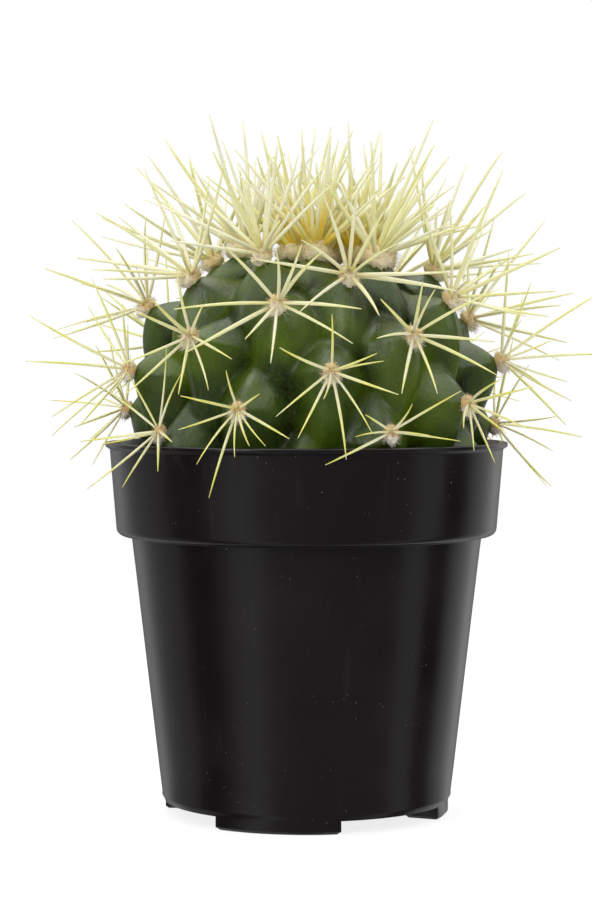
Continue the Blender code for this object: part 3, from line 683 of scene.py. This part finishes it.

# %% [markdown]
# The skin is dark green with a thin wax. Its colour is painted darker in the creases, as painted shade
# that stands in for the shadow there. It is warmer and a little see-through where the flesh is thick
# below each nose, and everywhere stippled with tiny pale pores.

# %% Stem: waxy green skin
green = Finish("waxy_green_skin")
patches = green.noise(130.0, 4.0, 0.6)
base = green.ramp(patches, "Fac", ((0.3, "202e08"), (0.52, "30430d"), (0.72, "435a12")))
closeness = green.attribute("near_nose")
# Painted shade: the colour is mixed toward near-black far from every nose, in the creases, for the shadow
# there.
painted_crease_shade = green.mix(green.range(closeness, "Fac", 0.0, 0.4, 0.9, 0.0), "Result", base, "0b1003")
warm = green.noise(75.0, 2.0)
warmed = green.mix(green.range(warm, "Fac", 0.47, 0.66, 0.0, 0.6), "Result", painted_crease_shade, "5d740a")
fine = green.noise(1700.0, 3.0, 0.7)
stippled = green.mix(green.range(fine, "Fac", 0.5, 0.75, 0.0, 0.3), "Result", warmed, "5f7030")
pores = green.add("ShaderNodeTexVoronoi", {"feature": "F1"}, Scale=1500.0)
green.join(green.place(), "Object", pores, "Vector")
dotted = green.mix(green.range(pores, "Distance", 0.05, 0.2, 0.3, 0.0), "Result", stippled, "76834f")
spots = green.add("ShaderNodeTexVoronoi", {"feature": "F1"}, Scale=300.0)
green.join(green.place(), "Object", spots, "Vector")
spotted = green.mix(green.range(spots, "Distance", 0.02, 0.06, 0.25, 0.0), "Result", dotted, "8f9070")
green.colour(spotted)
wax = green.noise(210.0, 4.0, 0.65, green.stretched((1.0, 1.0, 0.45)))
green.join(green.range(wax, "Fac", 0.3, 0.75, 0.24, 0.46), "Result", green.shader, "Roughness")
green.join(green.range(closeness, "Fac", 0.0, 0.4, 0.02, 0.5), "Result", green.shader, "Specular IOR Level")
green.shader.inputs["Subsurface Weight"].default_value = 0.1
green.shader.inputs["Subsurface Radius"].default_value = (0.5, 1.0, 0.15)
green.shader.inputs["Subsurface Scale"].default_value = 1.0 * MM
grain = green.bump(fine, "Fac", 0.09 * MM, 0.8)
green.join(green.bump(wax, "Fac", 0.8 * MM, 0.4, grain), "Normal", green.shader, "Normal")
stem.data.materials.append(green.material)
hand_over(stem, "stem_skin", "stem")

# %% [markdown]
# ## Wool pads and spines
# Each tubercle ends in a pad of short wool, and the spines stand in it. A tuft of wool and a needle
# are each modelled once. Every cluster is then its own mesh: a turned and stretched tuft, and one
# needle for each spine, bent along a gentle curve from the pad out to the spine's tip in the frame.
# A hair system could grow both, but meshes keep every spine's tip where the frame has it, and they
# can be exported as they are.


# %% A needle, modelled once
def points_and_faces(piece):
    """A piece's points as an array, and its faces as lists of point numbers."""
    co = np.empty(len(piece.data.vertices) * 3)
    piece.data.vertices.foreach_get("co", co)
    return co.reshape(-1, 3), [list(face.vertices) for face in piece.data.polygons]


bpy.ops.object.select_all(action="DESELECT")
bpy.ops.mesh.primitive_cone_add(vertices=7, radius1=1.0, radius2=0.03, depth=1.0, location=(0, 0, 0.5))
needle = bpy.context.active_object
settle(needle)
bpy.ops.object.mode_set(mode="EDIT")
for height in (0.03, 0.08, 0.2, 0.36, 0.52, 0.68, 0.84):
    bpy.ops.mesh.select_all(action="SELECT")
    bpy.ops.mesh.bisect(plane_co=(0, 0, height), plane_no=(0, 0, 1))
back_to_object()
needle_points, needle_faces = points_and_faces(needle)
bpy.data.objects.remove(needle)
along = needle_points[:, 2].copy()
girth = (1 - 0.84 * along ** 2.2) * (1 - 0.3 * np.exp(-((along / 0.16) ** 2))) + 0.08
needle_points[:, :2] *= (girth / np.maximum(1 - 0.97 * along, 0.03))[:, None]
print("needle has", len(needle_faces), "faces")

# %% A tuft of wool, modelled once
HAIRS = 300
WOOL_SUNK = 0.75 * MM
WOOL_SIZE = Vector((2.4 * MM, 3.3 * MM, 2.1 * MM))
dice = random.Random(7)
bpy.ops.object.select_all(action="DESELECT")
bpy.ops.mesh.primitive_uv_sphere_add(segments=20, ring_count=12, radius=0.5, location=(0, 0, 0))
felt = bpy.context.active_object
felt_points, felt_faces = points_and_faces(felt)
bpy.data.objects.remove(felt)
big_lumps = np.array([0.3 * noise.noise(Vector(p) * 6.0) for p in felt_points])
small_lumps = np.array([0.16 * noise.noise(Vector(p) * 15.0) for p in felt_points])
felt_points *= (1 + big_lumps + small_lumps)[:, None]
bpy.ops.mesh.primitive_cone_add(vertices=3, radius1=1.0, radius2=0.0, depth=1.0, location=(0, 0, 0.5))
hair = bpy.context.active_object
settle(hair)
bpy.ops.object.mode_set(mode="EDIT")
for height in (0.33, 0.66):
    bpy.ops.mesh.select_all(action="SELECT")
    bpy.ops.mesh.bisect(plane_co=(0, 0, height), plane_no=(0, 0, 1))
back_to_object()
hair_points, hair_faces = points_and_faces(hair)
bpy.data.objects.remove(hair)
print("felt", len(felt_faces), "faces, hair", len(hair_faces), "faces")


# %% Bending a needle or a hair along a curve
def bent(shape, root, tip, bow, thickness, flatness=1.0):
    """The shape's points, with its height laid along the curve root-tip, bowed to one side."""
    way = tip - root
    length = way.length
    side = way.cross(bow)
    side = side.normalized() if side.length > 1e-9 else way.orthogonal().normalized()
    other = side.cross(way).normalized()
    made = np.empty_like(shape)
    for row, (x, y, z) in enumerate(shape):
        arch = 4 * z * (1 - z)
        spot = root + way * z + bow * arch * length + side * x * thickness + other * y * thickness * flatness
        made[row] = spot
    return made


class Cluster:
    """Gathers the points, faces and point values of one cluster's mesh."""

    def __init__(self):
        self.points, self.faces, self.finishes = [], [], []
        self.values = {"along": [], "youth": [], "tone": []}
        self.count = 0

    def add(self, points, faces, finish, along_values, youth, tone):
        """Add one shape with its values."""
        self.points.append(points)
        self.faces += [[corner + self.count for corner in face] for face in faces]
        self.finishes += [finish] * len(faces)
        self.count += len(points)
        self.values["along"].append(along_values)
        self.values["youth"].append(np.full(len(points), youth))
        self.values["tone"].append(np.full(len(points), tone))

    def build(self, name, materials):
        """Make the piece."""
        mesh = bpy.data.meshes.new(name)
        mesh.from_pydata(np.concatenate(self.points).tolist(), [], self.faces)
        for key, value in self.values.items():
            column = np.concatenate(value).astype(np.float32)
            mesh.attributes.new(key, "FLOAT", "POINT").data.foreach_set("value", column)
        for material in materials:
            mesh.materials.append(material)
        mesh.polygons.foreach_set("material_index", np.array(self.finishes, np.int32))
        piece = bpy.data.objects.new(name, mesh)
        bpy.context.scene.collection.objects.link(piece)
        only(piece)
        bpy.ops.object.shade_smooth()
        return piece


# %% Where each pad sits
PAD_TILT = 0.87
PAD_REACH = 3.5 * MM


def pad_frame(number):
    """The way a pad faces on its nose: X across, Y up the stem, Z outwards."""
    angle, step = nose_angles[number], nose_steps[number]
    phi = dome(step)[2]
    facing = math.pi / 2 - PAD_TILT * phi
    away = Vector((math.sin(angle), -math.cos(angle), 0.0))
    up = Vector((0.0, 0.0, 1.0))
    outwards = away * math.cos(facing) + up * math.sin(facing)
    upwards = up * math.cos(facing) - away * math.sin(facing)
    across = upwards.cross(outwards)
    turn = Matrix((across, upwards, outwards)).transposed().to_4x4()
    return LEAN.to_3x3().to_4x4() @ turn


def tips_of(node):
    """The spine tips of a CAD cluster: its points that stand well away from its pad."""
    co = np.array([vert.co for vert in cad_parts[node].data.vertices])
    co = np.unique(np.round(co, 6), axis=0)
    centre = np.median(co, axis=0)
    far = np.linalg.norm(co - centre, axis=1) > PAD_REACH
    return Vector(centre), [Vector(tip) for tip in co[far]]


# %% [markdown]
# Spines are horn. Old ones are straw yellow, with paler and greener bands. Young ones at the crown
# are cream with golden feet. The colour runs along each needle, so it is read from a value that the
# mesh keeps from root to tip. The wool is golden tan on top and greyer below, where it weathers.

# %% Spine and wool finishes
horn = Finish("straw_spine")
root_to_tip = horn.attribute("along")
youth = horn.attribute("youth")
tone = horn.attribute("tone")
old_colour = horn.ramp(root_to_tip, "Fac", ((0.0, "cfa862"), (0.06, "e2dcb8"), (0.3, "e6e2bc"),
                                            (0.6, "dedb86"), (0.85, "d2cd5c"), (1.0, "c2ba66")))
young_colour = horn.ramp(root_to_tip, "Fac", ((0.0, "e4c873"), (0.08, "ece2b4"), (0.3, "f0edd0"),
                                              (0.65, "f0eed6"), (1.0, "dcdab0")))
bud_colour = horn.ramp(root_to_tip, "Fac", ((0.0, "e6c028"), (0.2, "ebcf40"), (0.4, "f0e39a"),
                                            (0.6, "f2efd0"), (1.0, "dedcb2")))
grown = horn.mix(horn.range(youth, "Fac", 0.0, 0.8, 0.0, 1.0), "Result", old_colour, young_colour)
by_age = horn.mix(horn.range(youth, "Fac", 0.9, 1.0, 0.0, 1.0), "Result", grown, bud_colour)
banding = horn.noise(300.0, 2.0)
banded = horn.mix(horn.range(banding, "Fac", 0.5, 0.65, 0.0, 0.4), "Result", by_age, "f2f0da")
horn.colour(horn.mix(horn.range(tone, "Fac", 0.0, 1.0, 0.0, 0.45), "Result", banded, "dcd95e"))
horn.shader.inputs["Roughness"].default_value = 0.38
horn.shader.inputs["Subsurface Weight"].default_value = 0.6
horn.shader.inputs["Subsurface Radius"].default_value = (1.0, 0.95, 0.7)
horn.shader.inputs["Subsurface Scale"].default_value = 0.6 * MM
horn.join(horn.bump(horn.noise(2500.0, 2.0), "Fac", 0.03 * MM, 0.3), "Normal", horn.shader, "Normal")

wool = Finish("areole_wool")
height_on_pad = wool.attribute("along")
wool_age = wool.attribute("youth")
old_wool = wool.ramp(height_on_pad, "Fac", ((0.0, "ebe4dc"), (0.34, "e8dcc8"), (0.52, "d8b070"),
                                            (0.75, "e2c082"), (1.0, "e8d6a6")))
new_wool = wool.ramp(height_on_pad, "Fac", ((0.0, "f2e4bc"), (0.6, "f3dfa4"), (1.0, "f5e4ac")))
aged = wool.mix(wool_age, "Fac", old_wool, new_wool)
strands = wool.noise(1800.0, 3.0, 0.7)
wool.colour(wool.mix(wool.range(strands, "Fac", 0.5, 0.7, 0.0, 0.5), "Result", aged, "efe6d2"))
wool.shader.inputs["Roughness"].default_value = 0.95
wool.shader.inputs["Sheen Weight"].default_value = 0.3
wool.join(wool.bump(strands, "Fac", 0.15 * MM, 0.8), "Normal", wool.shader, "Normal")


# %% One cluster
def add_wool(cluster, place, size, youth_value, dice):
    """A pad of felt and loose hairs."""
    stretch = Matrix.Diagonal((WOOL_SIZE.x * size, WOOL_SIZE.y * size, WOOL_SIZE.z * size, 1.0))
    turned_by = place.to_3x3()
    turn = np.array((place @ stretch).to_3x3())
    sunk = place @ Vector((0.0, -0.2 * MM, -WOOL_SUNK))
    felt_placed = felt_points @ turn.T + np.array(sunk)
    cluster.add(felt_placed, felt_faces, 1, felt_points[:, 1] + 0.5, youth_value, 0.0)
    for _ in range(HAIRS):
        fan = dice.uniform(0.0, math.tau)
        rise = dice.uniform(-0.35, 1.0)
        flat = math.sqrt(1 - rise * rise)
        spot = Vector((math.sin(fan) * flat, math.cos(fan) * flat, rise))
        stray = Vector((dice.uniform(-1, 1), dice.uniform(-1.2, 0.8), dice.uniform(-0.4, 0.6))) * 0.75
        length = dice.uniform(0.35, 1.0) * MM * (1.35 if spot.y < 0 else 0.9) * size
        root = sunk + turned_by @ (stretch @ spot * 0.46)
        tip = root + turned_by @ (spot + stray).normalized() * length
        bow = Vector((dice.uniform(-1, 1), dice.uniform(-1, 1), dice.uniform(-1, 1))) * 0.2
        points = bent(hair_points, root, tip, bow, dice.uniform(0.03, 0.05) * MM)
        shade = np.full(len(points), spot.y / 2 + 0.5 + dice.uniform(-0.2, 0.2))
        cluster.add(points, hair_faces, 1, shade, youth_value, 0.0)


def add_spine(cluster, root, tip, thickness, youth_value, dice):
    """One needle from the pad to its tip, with a slight bow."""
    bow = Vector((dice.uniform(-1, 1), dice.uniform(-1, 1), dice.uniform(-0.6, 1.0))) * 0.022
    points = bent(needle_points, root, tip, bow, thickness, dice.uniform(0.72, 1.0))
    cluster.add(points, needle_faces, 0, along, youth_value, dice.random() ** 2)


EXTRA_CLUSTERS = 13


def extra_tips(number, place, dice):
    """The crown's crowded young spines that the frame leaves out."""
    made = []
    for _ in range(max(0, EXTRA_CLUSTERS - number)):
        fan = dice.uniform(0, math.tau)
        splay = math.radians(dice.uniform(4, 40))
        flat = Vector((math.sin(fan), math.cos(fan), 0.0)) * math.sin(splay)
        way = place.to_3x3() @ (flat + Vector((0, 0, math.cos(splay))))
        length = dice.uniform(7.0, 15.0) * MM * min(1.0, 0.65 + 0.1 * number)
        made.append(place.translation + way * length)
    return made


# %% All clusters, from the crown down
CROWN_PADS = 9
CROWN_PAD_GAIN = 1.35
OLD_PAD = 0.85
YOUNG_PAD_GAIN = 0.45
OLD_AGE = 0.25
AGE_SPAN = 0.6
ROOT_DEPTH = 0.35
SPINE_RADII = (0.19, 0.26)
YOUNG_SPINE_GAIN = 0.85
spine_dice = random.Random(11)
total_spines = 0
for number in range(TUBERCLES):
    node = f"spine_cluster_{number + 1:02d}"
    centre, tips = tips_of(node)
    place = Matrix.Translation(centre) @ pad_frame(number)
    age = 1.0 - nose_steps[number] / nose_steps[TUBERCLES - 1]
    youth_value = min(1.0, max(0.0, (age - OLD_AGE) / AGE_SPAN))
    size = OLD_PAD + YOUNG_PAD_GAIN * min(1.0, age * 1.2)
    size *= CROWN_PAD_GAIN if number < CROWN_PADS else 1.0
    cluster = Cluster()
    add_wool(cluster, place, size, youth_value, spine_dice)
    tips += extra_tips(number, place, spine_dice)
    for tip in tips:
        heading = (tip - place.translation).normalized()
        local = place.to_3x3().inverted() @ heading
        root = place @ (Vector((local.x * 0.4, local.y * 0.5 + 0.2, -ROOT_DEPTH)) * MM * size)
        thickness = spine_dice.uniform(*SPINE_RADII) * MM * (1.0 + YOUNG_SPINE_GAIN * youth_value)
        add_spine(cluster, root, tip, thickness, youth_value, spine_dice)
    total_spines += len(tips)
    piece = cluster.build(f"spines_{number + 1:02d}", (horn.material, wool.material))
    hand_over(piece, "spines_and_wool", node)
print("spines in all:", total_spines)

# %% [markdown]
# ## The potting mix
# Peat, bark crumbs and a little grit fill the pot to just under the lip. It shows only in the ring
# between the stem and the pot, so that ring is where the work goes. Displacing one surface could do
# for peat alone. Loose crumbs on top of it, each a squashed ball of a few faces, also catch light and
# throw small shadows of their own.

# %% Potting mix: lumpy surface
SOIL_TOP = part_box("soil")[1].z
SOIL_GAP = 0.5 * MM
SOIL_HOLLOW = 0.4 * MM
SOIL_RINGS = 12
BAND_DEPTH = 8.0 * MM
LEDGE_DEPTH = 1.5 * MM
SOIL_RADIUS = LIP_RADIUS - LIP_PROUD - WALL - SOIL_GAP
BAND_RADIUS = SOIL_RADIUS - 0.6 * MM
BODY_RADIUS = BODY_TOP_RADIUS - WALL - 0.4 * MM
BOTTOM_RADIUS = BASE_RADIUS - WALL - SOIL_GAP
BOTTOM_DROP = SOIL_TOP - SOIL_HOLLOW - BAND_DEPTH - LEDGE_DEPTH - (FOOT_HEIGHT + FLOOR + 0.3 * MM)
bpy.ops.object.select_all(action="DESELECT")
soil_place = AXIS + Vector((0, 0, SOIL_TOP - SOIL_HOLLOW))
bpy.ops.mesh.primitive_circle_add(vertices=120, radius=SOIL_RADIUS, fill_type="NGON", location=soil_place)
soil = bpy.context.active_object
soil.name = "potting_mix"
bpy.ops.object.mode_set(mode="EDIT")
bpy.ops.mesh.select_all(action="SELECT")
for _ in range(SOIL_RINGS):
    bpy.ops.mesh.inset(thickness=0.85 * MM)
back_to_object()
only(soil)
bpy.ops.object.mode_set(mode="EDIT")
bpy.ops.mesh.select_mode(type="EDGE")
bpy.ops.mesh.select_all(action="DESELECT")
bpy.ops.mesh.select_non_manifold()
sides = ((BAND_DEPTH, SOIL_RADIUS, BAND_RADIUS), (LEDGE_DEPTH, BAND_RADIUS, BODY_RADIUS),
         (BOTTOM_DROP, BODY_RADIUS, BOTTOM_RADIUS))
for drop, from_radius, to_radius in sides:
    bpy.ops.mesh.extrude_edges_move(TRANSFORM_OT_translate={"value": (0, 0, -drop)})
    share = to_radius / from_radius
    bpy.ops.transform.resize(value=(share, share, 1.0))
bpy.ops.mesh.edge_face_add()
bpy.ops.mesh.select_all(action="SELECT")
bpy.ops.mesh.normals_make_consistent(inside=False)
back_to_object()
settle(soil)
for vert in soil.data.vertices:
    if vert.co.z > SOIL_TOP - 1.0 * MM:
        lump = noise.noise(vert.co * 320) * 0.8 + noise.noise(vert.co * 900) * 0.35
        vert.co.z += lump * MM
only(soil)
bpy.ops.object.shade_smooth()

# %% Potting mix: crumbs
soil_dice = random.Random(5)
crumbs = Cluster()
bpy.ops.object.select_all(action="DESELECT")
bpy.ops.mesh.primitive_uv_sphere_add(segments=7, ring_count=5, radius=0.5, location=(0, 0, 0))
crumb = bpy.context.active_object
crumb_points, crumb_faces = points_and_faces(crumb)
bpy.data.objects.remove(crumb)
CRUMBS = 420
CRUMBS_FROM = 22.5 * MM
CRUMB_SIZES = (0.6, 1.9)
for number in range(CRUMBS):
    turn = soil_dice.uniform(0.0, math.tau)
    out = soil_dice.uniform(CRUMBS_FROM, SOIL_RADIUS - 0.9 * MM)
    size = soil_dice.uniform(*CRUMB_SIZES) * MM
    spot = compass(turn, out, SOIL_TOP - 0.2 * MM + soil_dice.uniform(-0.2, 0.5) * MM)
    seed = Vector((number, 0, 0))
    lumps = np.array([1 + 0.45 * noise.noise(Vector(p) * 2.2 + seed) for p in crumb_points])
    shape = crumb_points * lumps[:, None] * size
    shape[:, 2] *= soil_dice.uniform(0.5, 0.9)
    spin = np.array(Matrix.Rotation(soil_dice.uniform(0, math.tau), 3, "Z"))
    placed_crumb = shape @ spin.T + np.array(spot)
    crumbs.add(placed_crumb, crumb_faces, 0, np.zeros(len(shape)), 0.0, soil_dice.random())
peat = Finish("peat_and_bark")
bits = peat.noise(900.0, 4.0, 0.7)
crumb_tone = peat.attribute("tone")
dark = peat.ramp(bits, "Fac", ((0.3, "120d09"), (0.6, "2a1f16"), (0.8, "463425")))
light = peat.ramp(crumb_tone, "Fac", ((0.0, "1a130d"), (0.8, "2e2117"), (0.93, "5d4a36"), (1.0, "8f8474")))
peat.colour(peat.mix(0.5, None, dark, light))
peat.shader.inputs["Roughness"].default_value = 0.95
peat.shader.inputs["Specular IOR Level"].default_value = 0.2
peat.join(peat.bump(bits, "Fac", 0.3 * MM, 0.8), "Normal", peat.shader, "Normal")
soil.data.materials.append(peat.material)
hand_over(soil, "potting_mix", "soil")
crumb_piece = crumbs.build("potting_crumbs", (peat.material,))
hand_over(crumb_piece, "potting_mix")
